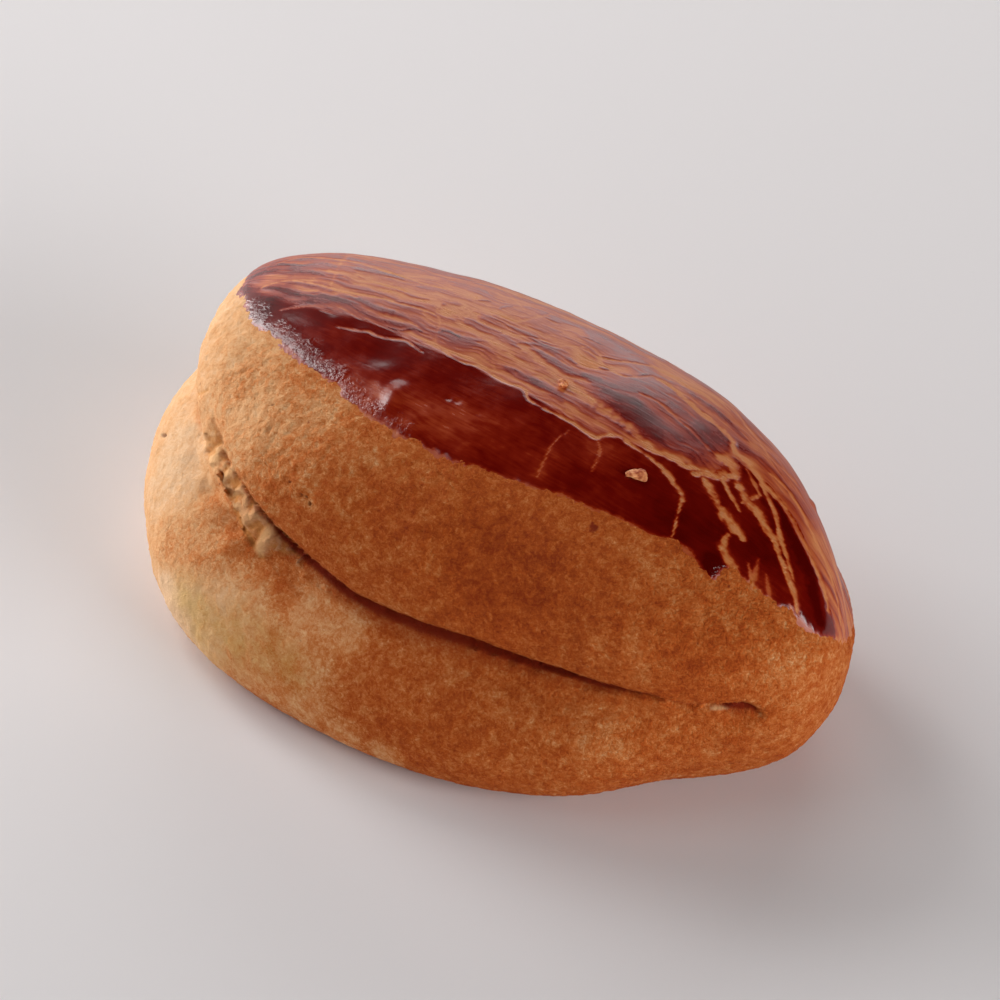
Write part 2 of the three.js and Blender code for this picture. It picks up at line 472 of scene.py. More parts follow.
def soften_torn_end(crust, lip):
    """Evens out the steps that the drawn-up lip leaves, most at the seam's left end."""
    points = places(crust)
    near, which, down, _ = beside_lip(lip, points)
    drawn = np.zeros(len(points))
    drawn[near] = eased(down, 1, 5) * (1 - eased(down, LIP_REACH - 8, LIP_REACH))
    drawn[near] *= lip_fade(lip, which) * mixed(1, 0.6, eased(which, *TORN_FADE_OUT))
    softened = group(crust, "torn end", drawn)
    finished(crust, "SMOOTH", factor=0.5, iterations=14, vertex_group=softened)


def torn_relief(form, lip, points):
    """The height in millimetres of the torn dough's lumps, tears and strands."""
    torn, lump = torn_dough(lip, points)
    height = torn * (0.15 + 0.65 * np.maximum(lump, -0.5))
    for marks, way in ((TEARS, -1), (STRANDS, 1)):
        for near, share, size in marked(form, marks, points):
            height[near] += way * share * size
    return height


def marked(form, marks, points):
    """For each mark, how much of it each point feels: 1 along its middle, 0 outside it."""
    seen, far = picture_of(points)
    for first, last, half_width, height in marks:
        start, end = np.array(first, dtype=float), np.array(last, dtype=float)
        middle = (start + end) / 2
        depth = np.abs(far - picture_of(on_bun(form, middle)[None])[1])
        aside = np.abs(seen - middle).max(axis=1)
        near = np.nonzero((aside < MARK_REACH) & (depth < MARK_DEPTH))[0]
        way = end - start
        along = np.clip((seen[near] - start) @ way / (way @ way), 0, 1)
        away = np.linalg.norm(seen[near] - start - along[:, None] * way, axis=1)
        away = away / PIXELS_PER_MM
        yield near, 1 - eased(away, 0.35 * half_width, 1.5 * half_width), height


def felt(form, marks, points):
    """How much each point feels of the strongest mark."""
    total = np.zeros(len(points))
    for near, share, _ in marked(form, marks, points):
        total[near] = np.maximum(total[near], share)
    return total


def lip_edge(form):
    """The upper lip's edge in the picture, its distance, and that of the bun below it."""
    run = smooth_run([(*pixel, *sizes) for pixel, *sizes in LIP_EDGE], LIP_STEP)
    ahead = np.gradient(run[:, :2], axis=0)
    down = np.stack([-ahead[:, 1], ahead[:, 0]], axis=1)
    down /= np.linalg.norm(down, axis=1)[:, None]
    below = []
    for step in range(0, LIP_REACH + 1, LIP_STEP):
        on_it = np.array([on_bun(form, p) for p in run[:, :2] + step * down])
        below.append(picture_of(on_it)[1])
    below = np.array(below).T
    return run, below[:, 0], below


def open_seam(form, lip):
    """Draws the lower lip up to the upper one's edge."""
    run, run_far, below_far = lip
    points = places(form)
    lift = np.zeros(len(points))
    near, which, down, far = beside_lip(lip, points)
    share = np.clip(down, 0, LIP_REACH) / LIP_REACH
    steps = np.clip(down, 0, LIP_REACH - 0.01) / LIP_STEP
    step = steps.astype(int)
    was = mixed(below_far[which, step], below_far[which, step + 1], steps - step)
    start = run_far[which] + run[which, 2]
    start = start + LIP_CREASE * (1 - eased(down, 0, 0.9 * PIXELS_PER_MM))
    wanted = mixed(start, below_far[which, -1], eased(share, 0, 1))
    close = 1 - eased(far - was, MARK_DEPTH, MARK_DEPTH + 4)
    lift[near] = (was - wanted) * eased(down, -1.0, 1.5) * close * lip_fade(lip, which)
    put(form, points + lift[:, None] * np.array(TO_CAMERA))


def on_bun(form, pixel):
    """The place on the bun that the photograph shows at a pixel, in millimetres."""
    towards = (beside_middle(pixel) - CAMERA_PLACE).normalized()
    hit, place, _, _ = form.ray_cast(CAMERA_PLACE, towards)
    if not hit:
        _, place, _, _ = form.closest_point_on_mesh(beside_middle(pixel))
    return np.array(place) / MM


def nearest_on_bun(form, point):
    _, place, _, _ = form.closest_point_on_mesh(Vector(point) * MM)
    return np.array(place) / MM


def smooth_run(points, step, closed=False):
    """A Catmull-Rom run through the points, with a point about every step millimetres."""
    points = [np.asarray(p, dtype=float) for p in points]
    if closed:
        points = [points[-1], *points, points[0], points[1]]
    else:
        points = [2 * points[0] - points[1], *points, 2 * points[-1] - points[-2]]
    run = []
    for a, b, c, d in zip(points, points[1:], points[2:], points[3:]):
        count = max(2, int(np.linalg.norm(c - b) / step))
        for f in np.arange(count) / count:
            bend = 2 * a - 5 * b + 4 * c - d
            run.append(0.5 * (2 * b + (c - a) * f + bend * f**2 + (3 * b - a - 3 * c + d) * f**3))
    if not closed:
        run.append(points[-2])
    return np.array(run)


def laid_on(form, run):
    return np.array([nearest_on_bun(form, p) for p in run])


def laid_pixels(form, pixels, step=0.15):
    """A run on the bun through the places that the photograph shows at the pixels."""
    return laid_on(form, smooth_run([on_bun(form, pixel) for pixel in pixels], step))


def nearest_in(run, points):
    """For each point, its distance from the nearest point of the run, and which that is."""
    tree = kdtree.KDTree(len(run))
    for i, p in enumerate(run):
        tree.insert(p, i)
    tree.balance()
    found = [tree.find(p) for p in points]
    return np.array([f[2] for f in found]), np.array([f[1] for f in found])


def glaze_edge(form):
    near = [on_bun(form, pixel) for pixel in GLAZE_NEAR_EDGE]
    far = [nearest_on_bun(form, p) for p in GLAZE_FAR_EDGE]
    return laid_on(form, smooth_run([*near, *far], 0.15, closed=True))


def inside_edge(edge, points, facing, closed=True):
    """Millimetres from an edge on the bun: positive to the left of its run."""
    away, which = nearest_in(edge, points)
    if closed:
        ahead = np.roll(edge, -2, axis=0) - np.roll(edge, 2, axis=0)
    else:
        ahead = np.gradient(edge, axis=0)
    inward = np.cross(facing, ahead[which])
    side = np.einsum("ij,ij->i", inward, points - edge[which])
    return away * np.sign(side)


def laid_strokes(form, strokes):
    """Each stroke's half width and amount, with its run of places on the bun."""
    laid = []
    for half_width, amount, *pixels in strokes:
        run = laid_pixels(form, zip(pixels[::2], pixels[1::2]))
        laid.append((half_width, amount, run))
    return laid


# A stroke's reach, and how far its sides are frayed, as shares of its half width, which
# counts as at least this many millimetres.
STROKE_SPREAD = 1.2
FRAYING = 0.42
LEAST_HALF_WIDTH = 0.2


def most_of(strokes, points, wobble):
    """The amount of the strongest stroke at each point: strokes taper, and their sides wobble."""
    most = np.zeros(len(points))
    for half_width, amount, run in strokes:
        margin = 2 * half_width + 1
        near = np.nonzero(np.all(
            (points > run.min(axis=0) - margin) & (points < run.max(axis=0) + margin), axis=1,
        ))[0]
        away, which = nearest_in(run, points[near])
        taper = np.sin(np.linspace(0.3, math.pi - 0.3, len(run)))[which] ** 0.5
        breadth = max(half_width, LEAST_HALF_WIDTH)
        reach = STROKE_SPREAD * breadth * taper
        frayed = away + wobble[near] * FRAYING * breadth
        share = 1 - eased(frayed, 0.30 * reach, 1.40 * reach)
        share = share * mixed(1, 0.72, eased(wobble[near], -0.1, 0.7))
        most[near] = np.maximum(most[near], amount * share)
    return most


# ---- Crust ----

CRUST_VOXEL = 0.42 * MM
CRUST_TRIANGLES = 188000

# Crust this far inside the glaze's edge, in millimetres, or this near the table, is
# hidden, and thinned by this share. The back is what turns away by this cosine and is
# this far outside the edge.
UNDER_GLAZE = 2.5
ON_TABLE = 0.25
HIDDEN_SHARE = 0.70
TURNED_AWAY = -0.1
OFF_GLAZE = 0.5

# The bake rises from the left end, over this stretch in millimetres, to its full depth.
BAKE_RISE = (-50, -10)
FULL_BAKE = 0.98

# Where the bake is darker or paler than the rest: pixel, reach in millimetres, change.
BAKE_PATCHES = [
    ((510, 575), 18, 0.46), ((400, 520), 14, 0.14), ((430, 740), 14, 0.08),
    ((690, 745), 10, -0.06), ((815, 680), 15, -0.26), ((690, 655), 10, 0.2), ((400, 655), 7, -0.1),
    ((600, 745), 8, -0.34), ((185, 610), 14, -0.12), ((180, 470), 12, -0.3),
    ((740, 640), 12, 0.06), ((258, 545), 6, 0.05), ((165, 545), 6, 0.15), ((262, 425), 12, -0.34),
    ((330, 500), 8, -0.12), ((330, 400), 9, -0.22), ((325, 435), 11, -0.3), ((380, 448), 8, -0.26),
    ((305, 505), 7, -0.18),
]

# Near the table at the left the dough stayed pale: pixels, reach in millimetres.
PALE_BASE = [
    ((172, 608), 8.0), ((205, 630), 12.0), ((243, 625), 13.0), ((262, 655), 14.0),
    ((293, 668), 13.0), ((305, 706), 8.0), ((340, 738), 6.5), ((385, 756), 4.5),
    ((312, 610), 8.0), ((340, 628), 8.0),
]
PALER = 0.60

# Part of it turned yellow: pixels, reach in millimetres.
YELLOW_PATCH = [
    ((190, 604), 7.5), ((208, 630), 9.0), ((235, 638), 8.5), ((262, 650), 8.0), ((290, 668), 6.0),
]

# The upper lip's left face is rough: pixels, reach in millimetres.
ROUGH_PATCH = [((290, 430), 13), ((350, 470), 12), ((250, 380), 10), ((430, 500), 10)]

# A drop of egg wash that ran on the crust: pixel and reach in millimetres.
DROP = ((593, 527), 1.35)


def nearness(points, place, reach):
    """1 at the place, falling smoothly to 0 at the reach."""
    return 1 - eased(np.linalg.norm(points - place, axis=1), 0, reach)


def nearest_patch(form, points, patches):
    """How near each point is to the nearest of the patches."""
    near = [nearness(points, on_bun(form, pixel), reach) for pixel, reach in patches]
    return np.max(near, axis=0)


def changed(form, points, values, patches):
    """The values with each patch's change added to them near its place."""
    for pixel, reach, change in patches:
        values = values + change * nearness(points, on_bun(form, pixel), reach)
    return values


def browning(form, points):
    """How far the crust has browned: 0 pale tan, 1 orange brown, more is darker."""
    bake = eased(points[:, 0], *BAKE_RISE) * FULL_BAKE
    bake = changed(form, points, bake + 0.10 * grain(points, 9.0, 3.1), BAKE_PATCHES)
    pale = nearest_patch(form, points, PALE_BASE)
    return bake - PALER * np.clip(pale * (1.5 + 0.5 * grain(points, 5.0, 7.0)), 0, 1)


def crust_relief(form, points):
    """The height in millimetres of the crust's dimples and pebbles, and of its pits."""
    rough = np.clip(nearest_patch(form, points, ROUGH_PATCH) * 1.5, 0, 1)
    pebbles = grain(points, 1.15, 2.0)
    pits = eased(grain(points, 0.85, 6.0), 0.12, 0.6)
    dimples = 0.14 * grain(points, 3.6, 4.0)
    fine = 0.035 * grain(points, 0.62, 9.0, octaves=2)
    return dimples + (0.08 + 0.10 * rough) * pebbles + fine, (0.02 + 0.08 * rough) * pits


def crust_body(form, edge, lip):
    """The form with even, fine faces, and fewer where they don't show."""
    crust = copy_of(form, "crust")
    crust.data.remesh_voxel_size = CRUST_VOXEL
    choose(crust)
    bpy.ops.object.voxel_remesh()
    finished(crust, "SMOOTH", factor=0.5, iterations=2)
    soften_torn_end(crust, lip)
    points = places(crust)
    glazed = inside_edge(edge, points, normals(crust)) > UNDER_GLAZE
    hidden = group(crust, "hidden", glazed | (points[:, 2] < ON_TABLE))
    finished(crust, "DECIMATE", ratio=1 - HIDDEN_SHARE * glazed.mean(), vertex_group=hidden)
    # The back, which the photograph doesn't show, needs fewer faces too.
    points, facing = places(crust), normals(crust)
    away = facing @ np.array(TO_CAMERA) < TURNED_AWAY
    behind = group(crust, "behind", away & (inside_edge(edge, points, facing) < -OFF_GLAZE))
    thinned(crust, behind, CRUST_TRIANGLES)
    return crust


def make_crust(form, edge, lip):
    crust = crust_body(form, edge, lip)
    points, facing = places(crust), normals(crust)
    inside = inside_edge(edge, points, facing)
    heights, pits = crust_relief(form, points)
    torn, lump = torn_dough(lip, points)
    gash = np.maximum(felt(form, TEARS, points), torn * (1 - eased(lump, -0.25, 0.25)))
    cream = np.maximum(felt(form, STRANDS, points), torn * eased(lump, -0.2, 0.35))
    pores = felt(form, [((x, y), (x + 1, y), radius, 0) for (x, y), radius in PORES], points)
    bare = eased(points[:, 2], 0.3, 4) * (1 - eased(inside, 0.5, 1.5))
    lift = (heights - pits) * (1 - torn) * bare - 0.25 * pores + torn_relief(form, lip, points)
    yellow = nearest_patch(form, points, YELLOW_PATCH) * (1.0 + 0.6 * grain(points, 4.0, 5.0))
    drop = nearest_patch(form, points, [DROP]) + 0.4 * grain(points, 0.9, 3.0)
    # The crease and pore masks carry painted shade: in the crease under the upper lip, and in the
    # pores.
    note(
        crust, raised=(heights - pits) * 5, browning=browning(form, points),
        yellow=np.clip(yellow, 0, 1), crease=crease_shade(lip, points), gash=gash,
        cream=cream, pore=pores, drop=eased(drop, 0.35, 0.6),
    )
    put(crust, points + facing * lift[:, None])
    return shaded_smooth(crust)


# ---- Glaze ----

# The film starts as a tilted grid that is let down on the bun: its sides in millimetres,
# its faces, and its middle in metres.
GLAZE_TILT = math.radians(-20)
GLAZE_SIZE = (118, 75)
GLAZE_FACES = (385, 430)
GLAZE_START = (0, 0.034, 0.1)

# The film runs on this many millimetres past its edge, under the crust's surface. Where
# the grid stayed higher than this it missed the bun.
GLAZE_REACH_OUT = 2.2
OFF_THE_BUN = 60

# The film's depth in millimetres, the share of faces that its underside gives up, and
# the back, from this many millimetres on, which gives up the rest.
FILM_DEPTH = 0.5
UNDERSIDE_SHARE = 0.46
GLAZE_TRIANGLES = 188000
BACK_FROM = 22

# The brush ran from the left end to the right one, on lines that meet at these places. At
# this radius, in millimetres, their turn about the line between them is a distance.
BRUSH_START = np.array([-52.0, 6.0, 29.0])
BRUSH_END = np.array([60.0, 7.0, 13.0])
BRUSH_RADIUS = 24.0

# Past this line, seen in the photograph, the film is thin and streaked.
THIN_FILM_EDGE = [
    (246, 288), (256, 294), (278, 304), (310, 311), (345, 318), (374, 327), (403, 338),
    (457, 361), (488, 377), (524, 395), (566, 421), (595, 439), (620, 440), (648, 451),
    (675, 463), (702, 474), (735, 470), (758, 478), (785, 508), (805, 548), (820, 590),
    (832, 622),
]

# Where the film baked thicker or thinner: pixel, reach in millimetres, change. The thinner patches
# at (345, 375) and (375, 395) lie under a haze of reflection, and are partly thinner film and
# partly a painted sheen.
FILM_PATCHES = [
    ((452, 415), 8, -0.3), ((500, 430), 7, -0.2), ((540, 465), 6, -0.26), ((375, 395), 8, -0.36),
    ((345, 375), 6, -0.3), ((415, 418), 6, -0.25), ((318, 335), 5, -0.1), ((603, 458), 5, -0.24),
    ((660, 515), 9, 0.15), ((700, 530), 7, 0.3), ((713, 566), 3.2, 0.75), ((745, 552), 3.0, 0.25),
    ((770, 560), 6, 0.15), ((817, 618), 3.6, 0.2), ((758, 582), 4.2, -0.2), ((310, 302), 5, 0.2),
    ((700, 440), 5, 0.22), ((740, 440), 5, 0.2), ((770, 465), 5, 0.2), ((800, 515), 5, 0.2),
    ((250, 280), 5, 0.38), ((262, 266), 5, 0.32), ((278, 290), 5, 0.2), ((640, 398), 7, 0.2),
    ((690, 425), 8, 0.25), ((720, 445), 6, 0.2), ((620, 425), 5, 0.2), ((262, 300), 6, 0.05),
    ((300, 320), 6, 0.1), ((780, 540), 8, 0.25),
]

# Swells and dimples of the film: pixel, reach and height in millimetres.
FILM_SWELLS = [
    ((398, 389), 2.2, 0.17), ((393, 398), 2.4, 0.22), ((388, 408), 2.2, 0.17),
    ((449, 399), 0.8, -0.12), ((458, 402), 0.8, -0.12), ((478, 415), 0.5, -0.06),
    ((710, 563), 2.6, 0.14), ((745, 553), 2.2, 0.15), ((812, 505), 1.6, 0.3),
    ((640, 500), 6.0, 0.15), ((560, 455), 6.0, 0.12),
]

# Here the film is wet and bumpy, over coarse crust: pixels, reach in millimetres.
BUMPY_PATCH = [
    ((260, 308), 5.0), ((282, 333), 5.5), ((305, 354), 5.5), ((328, 373), 5.0), ((350, 394), 5.0),
    ((372, 411), 4.6), ((396, 427), 4.4), ((278, 286), 3.4), ((300, 284), 3.0), ((713, 566), 3.0),
    ((682, 546), 1.8),
]


def brush_lines(points):
    """Millimetres along the brush's stroke, and across the strokes."""
    axis = BRUSH_END - BRUSH_START
    axis /= np.linalg.norm(axis)
    aside = np.cross(axis, (0, 0, 1))
    aside /= np.linalg.norm(aside)
    above = np.cross(aside, axis)
    from_start = points - BRUSH_START
    turn = np.arctan2(from_start @ aside, from_start @ above)
    return from_start @ axis, turn * BRUSH_RADIUS


def on_strokes(along, across, length, width, seed):
    """Noise drawn out along the brush's strokes, of about -1 to 1."""
    drawn = np.stack([along / length, across / width, 0 * along], axis=1)
    return grain(drawn, 1.0, seed)


def film_thickness(form, points, inside, past_line, bare, thick):
    """How thick the film baked: 0 is bare crust, 1 deep mahogany, more is darker."""
    along, across = brush_lines(points)
    across = across + 1.2 * grain(points, 12.0, 5.0)
    broad = on_strokes(along, across, 16.0, 1.9, 1.0)
    narrow = on_strokes(along, across, 11.0, 0.8, 2.0)
    hair = on_strokes(along, across, 8.0, 0.42, 3.0)

    deep = 0.98 + 0.16 * grain(points, 4.5, 9.0) + 0.08 * hair
    thin = 0.50 + 0.12 * grain(points, 8.0, 4.0) + 0.38 * broad + 0.14 * narrow + 0.06 * hair
    lines = 1 - eased(np.abs(broad + 0.06 * hair), 0.01, 0.10)
    scratches = 0.35 * (1 - eased(np.abs(narrow + 0.06 * hair), 0.01, 0.09))
    lined = np.maximum(0.55 * lines, scratches) * mixed(1, 0.5, eased(along, 50, 72))
    thin = mixed(thin, 0.18 + 0.10 * hair, lined)
    film = mixed(deep, thin, eased(past_line + 0.6 * narrow, -0.3, 1.0))
    film = changed(form, points, film, FILM_PATCHES)
    film = mixed(film, 0.13 + 0.10 * hair, bare) + thick
    rim = inside + 0.25 * grain(points, 0.9, 1.0) + 0.3 * grain(points, 2.6, 8.0)
    fringe = mixed(mixed(0.7, 0.45, eased(along, 0, 40)), 1, eased(rim, 0, 0.7))
    return np.clip(film * fringe, 0, 1.5)


def film_relief(form, points, film, inside):
    """The film's height over the crust in millimetres, where it is bumpy, and its full gloss."""
    ragged = inside + 0.9 * grain(points, 1.6, 5.0)
    bumpy = np.clip(nearest_patch(form, points, BUMPY_PATCH) * 2.2, 0, 1)
    patchy = mixed(0.6, 1, eased(grain(points, 1.1, 13.0), -0.3, 0.3))
    bumpy = bumpy * (1 - eased(ragged, 1.8, 4.2)) * patchy
    height = 0.03 + 0.13 * eased(film, 0.1, 0.85) + 0.035 * grain(points, 3.0, 12.0, octaves=1)
    height += (0.004 + 0.022 * bumpy) * grain(points, 0.9, 11.0, octaves=2)
    height = changed(form, points, height, FILM_SWELLS)
    rim = inside + 0.20 * grain(points, 0.9, 1.0) + 0.25 * grain(points, 2.6, 8.0)
    return mixed(-0.25, height, eased(rim, -2.0, 1.4)), bumpy, eased(rim, -0.6, 0.4)


def glaze_sheet(form, edge):
    """A fine sheet that lies on the bun and ends a little past the glaze's edge."""
    width, depth = GLAZE_SIZE
    bpy.ops.mesh.primitive_grid_add(
        size=1, x_subdivisions=GLAZE_FACES[0], y_subdivisions=GLAZE_FACES[1],
        location=GLAZE_START, rotation=(GLAZE_TILT, 0, 0),
    )
    glaze = bpy.context.object
    glaze.name = "glaze"
    glaze.scale = (width * MM, depth * MM, 1)
    bpy.ops.object.transform_apply(location=False, rotation=False, scale=True)
    finished(
        glaze, "SHRINKWRAP", target=form, wrap_method="PROJECT",
        use_project_z=True, use_negative_direction=True, use_positive_direction=False,
    )
    bpy.ops.object.transform_apply()
    points = places(glaze)
    inside = inside_edge(edge, points, normals(glaze))
    keep(glaze, (inside > -GLAZE_REACH_OUT) & (points[:, 2] <= OFF_THE_BUN))
    return glaze


def make_glaze(form, edge, bare_lines, thick_strokes):
    glaze = glaze_sheet(form, edge)
    points, facing = places(glaze), normals(glaze)
    inside = inside_edge(edge, points, facing)
    wobble = grain(points, 1.5, 7.0) + 0.35 * grain(points, 0.7, 8.0)
    bare = most_of(bare_lines, points, wobble)
    thick = most_of(thick_strokes, points, wobble)
    thin_edge = laid_pixels(form, THIN_FILM_EDGE, step=0.3)
    past_line = inside_edge(thin_edge, points, facing, closed=False)
    film = film_thickness(form, points, inside, past_line, bare, thick)
    height, bumpy, glossy = film_relief(form, points, film, inside)
    put(glaze, points + facing * height[:, None])
    note(
        glaze, film=film, bumpy=bumpy, glossy=glossy, streaky=eased(past_line, 0, 1.5),
        browning=browning(form, points), raised=0.5 * grain(points, 1.15, 2.0),
    )
    lay_brush_map(glaze, points)
    finished(glaze, "SOLIDIFY", thickness=FILM_DEPTH * MM, offset=-1)
    # The film's underside lies in the crust, out of sight, and needs few faces.
    count = len(glaze.data.vertices) // 2
    underside = group(glaze, "underside", np.arange(len(glaze.data.vertices)) >= count)
    finished(glaze, "DECIMATE", ratio=1 - UNDERSIDE_SHARE, vertex_group=underside)
    # Nor does its back need many, which the photograph doesn't show.
    behind = group(glaze, "behind", places(glaze)[:, 1] > BACK_FROM)
    thinned(glaze, behind, GLAZE_TRIANGLES)
    return shaded_smooth(glaze)


def lay_brush_map(glaze, points):
    """A UV map in centimetres: along the brush's strokes, and across them."""
    along, across = brush_lines(points)
    corners = np.empty(len(glaze.data.loops), dtype=np.int32)
    glaze.data.loops.foreach_get("vertex_index", corners)
    flat = np.stack([along[corners], across[corners]], axis=1) / 10
    brush_map = glaze.data.uv_layers.new(name="brush")
    brush_map.data.foreach_set("uv", flat.astype(np.float32).ravel())


def keep(piece, chosen):
    """Deletes the vertices that aren't chosen."""
    choose(piece)
    bpy.ops.object.mode_set(mode="EDIT")
    bpy.ops.mesh.select_mode(type="VERT")
    bpy.ops.mesh.select_all(action="DESELECT")
    bpy.ops.object.mode_set(mode="OBJECT")
    piece.data.vertices.foreach_set("select", ~chosen)
    bpy.ops.object.mode_set(mode="EDIT")
    bpy.ops.mesh.delete(type="VERT")
    bpy.ops.object.mode_set(mode="OBJECT")


# ---- Crumbs ----

# Crumbs that lie on the bun: name, pixel, length, width and height in mm, turn in degrees.
CRUMBS = [
    ("crumb_flake", (636, 476), (2.9, 1.9, 0.9), 14),
    ("small_crumb", (562, 386), (1.5, 1.2, 1.0), 60),
]

# How high a crumb's middle lies, how lumpy it is, how much it tapers to one end, and how
# far it is folded, as shares of its size.
CRUMB_LIFT = 0.25
CRUMB_LUMPS = 0.5
CRUMB_TAPER = 0.5
CRUMB_FOLD = 0.25


def add_crumb(form, name, pixel, size, turn):
    """An uneven, slightly folded crumb that lies on the bun where the photograph has it."""
    place = on_bun(form, pixel)
    _, _, facing, _ = form.closest_point_on_mesh(Vector(place) * MM)
    bpy.ops.mesh.primitive_ico_sphere_add(subdivisions=5, radius=MM)
    crumb = bpy.context.object
    crumb.name = name
    points = places(crumb)
    lumps = 1 + CRUMB_LUMPS * grain(points, 1.3, pixel[0], octaves=2)
    points[:, 1] *= 1 - CRUMB_TAPER * points[:, 0]
    points = points * lumps[:, None] * np.array(size) / 2
    from_fold = np.abs(points[:, 0] + 0.3 * points[:, 1])
    points[:, 2] += CRUMB_FOLD * size[2] * from_fold / size[0] * 2
    along = PICTURE_RIGHT.cross(facing).cross(facing).normalized()
    along.rotate(Quaternion(facing, math.radians(turn)))
    axes = np.array([along, facing.cross(along), facing])
    put(crumb, place + points @ axes + np.array(facing) * size[2] * CRUMB_LIFT)
    return shaded_smooth(crumb)


# ---- Finishes ----


class Finish:
    """A material or world that is being made: nodes are added by kind, and sockets linked."""

    def __init__(self, made, surface="Principled BSDF"):
        made.use_nodes = True
        self.made = made
        self.tree = made.node_tree
        self.surface = self.tree.nodes[surface]

    def add(self, kind, inputs=None, **settings):
        node = self.tree.nodes.new("ShaderNode" + kind)
        for name, value in settings.items():
            setattr(node, name, value)
        for name, value in (inputs or {}).items():
            self.set(node, name, value)
        return node

    def set(self, node, name, value):
        if isinstance(value, bpy.types.NodeSocket):
            self.tree.links.new(value, node.inputs[name])
        else:
            node.inputs[name].default_value = value

    def done(self, inputs):
        """Gives the surface its inputs, and hands over what was made."""
        for name, value in inputs.items():
            self.set(self.surface, name, value)
        return self.made

    def millimetres(self):
        """Object coordinates in millimetres."""
        place = self.add("TexCoord").outputs["Object"]
        scaled = self.add("VectorMath", {0: place, 1: (1 / MM,) * 3}, operation="MULTIPLY")
        return scaled.outputs[0]

    def attribute(self, name):
        return self.add("Attribute", attribute_name=name).outputs["Fac"]

    def noise(self, place, size, detail=3.0, roughness=0.55, distortion=0.0):
        made = self.add("TexNoise", {
            "Vector": place, "Scale": 1 / size, "Detail": detail,
            "Roughness": roughness, "Distortion": distortion,
        })
        return made.outputs["Fac"]

    def math(self, operation, a, b=0.0, c=0.0):
        return self.add("Math", {0: a, 1: b, 2: c}, operation=operation).outputs[0]

    def varied(self, value, noise, amount):
        """The value, raised and lowered by a noise."""
        return self.math("MULTIPLY_ADD", self.math("SUBTRACT", noise, 0.5), amount, value)

    def ranged(self, value, start, end, low=0.0, high=1.0, linear=False):
        made = self.add("MapRange", {
            "Value": value, "From Min": start, "From Max": end, "To Min": low, "To Max": high,
        }, interpolation_type="LINEAR" if linear else "SMOOTHSTEP")
        return made.outputs["Result"]

    def ramp(self, value, stops):
        """Colours at places from 0 to 1."""
        made = self.add("ValToRGB", {"Fac": value})
        elements = made.color_ramp.elements
        while len(elements) < len(stops):
            elements.new(0.5)
        for element, (place, colour) in zip(elements, stops):
            element.position = place
            element.color = (*colour, 1)
        return made.outputs["Color"]

    def blend(self, share, a, b, way="MIX"):
        made = self.add("Mix", data_type="RGBA", blend_type=way)
        for slot, value in ((0, share), (6, a), (7, b)):
            self.set(made, slot, value)
        return made.outputs[2]

    def mix(self, share, a, b):
        made = self.add("Mix", {0: share, 2: a, 3: b}, data_type="FLOAT")
        return made.outputs[0]

    def bump(self, height, distance):
        inputs = {"Height": height, "Distance": distance * MM, "Strength": 1.0}
        return self.add("Bump", inputs).outputs["Normal"]


PALE_DOUGH = (0.84, 0.54, 0.315)
TAN_CRUST = (0.76, 0.39, 0.172)
ORANGE_CRUST = (0.65, 0.225, 0.066)
BROWN_CRUST = (0.55, 0.130, 0.023)
DARK_CRUST = (0.46, 0.083, 0.010)
DARKEST_CRUST = (0.30, 0.040, 0.004)
YELLOW_TINT = (0.86, 0.83, 0.60)
CREAM_DOUGH = (0.86, 0.54, 0.27)
TORN_DOUGH = (0.70, 0.31, 0.085)
BARE_TAN = (0.68, 0.255, 0.085)
# Painted shade, for the crease under the upper lip.
CREASE_PAINTED_SHADE = (0.18, 0.010, 0.0)
DROP_RED = (0.22, 0.018, 0.003)
# Painted shade, for the open pores.
PORE_PAINTED_SHADE = (0.13, 0.03, 0.01)


def crust_skin(finish, place):
    """The crust's mottled colour, and the height of its fine bumps."""
    mottle = finish.noise(place, 1.5, detail=4.0, roughness=0.62, distortion=0.5)
    blotches = finish.noise(place, 4.5, detail=2.0)
    specks = finish.noise(place, 0.45, detail=3.0, roughness=0.6, distortion=0.8)
    browning_here = finish.attribute("browning")
    patches = finish.varied(0.0, blotches, 0.6)
    patches = finish.varied(patches, mottle, 1.8)
    patches = finish.varied(patches, specks, 1.8)
    patches = finish.math("MULTIPLY_ADD", finish.attribute("raised"), 0.12, patches)
    # Pale dough is more even than browned crust.
    evenness = finish.ranged(browning_here, 0.0, 0.85, 0.42, 1.0)
    bake = finish.math("MULTIPLY_ADD", patches, evenness, browning_here)
    colour = finish.ramp(finish.ranged(bake, -0.3, 1.7, linear=True), [
        (0.00, PALE_DOUGH), (0.22, TAN_CRUST), (0.40, ORANGE_CRUST), (0.58, BROWN_CRUST),
        (0.74, DARK_CRUST), (1.00, DARKEST_CRUST),
    ])
    fibres = finish.noise(place, 0.55, detail=4.0, roughness=0.65, distortion=0.8)
    height = finish.math("MULTIPLY", finish.math("ADD", fibres, specks), evenness)
    return colour, height


def crust_finish():
    finish = Finish(bpy.data.materials.new("baked crust"))
    place = finish.millimetres()
    colour, height = crust_skin(finish, place)
    colour = finish.blend(finish.attribute("yellow"), colour, (*YELLOW_TINT, 1), way="MULTIPLY")
    # crease and pore darken the colour with painted shade, in the crease under the upper lip and
    # in the pores.
    for name, share, tint in (
        ("gash", 0.6, TORN_DOUGH), ("cream", 0.55, CREAM_DOUGH), ("crease", 0.97, CREASE_PAINTED_SHADE),
        ("pore", 0.75, PORE_PAINTED_SHADE), ("drop", 0.92, DROP_RED),
    ):
        amount = finish.ranged(finish.attribute(name), 0, 1, 0, share)
        colour = finish.blend(amount, colour, (*tint, 1))
    return finish.done({
        "Base Color": colour, "Normal": finish.bump(height, 0.38), "Roughness": 0.85,
        "Specular IOR Level": 0.12,
    })


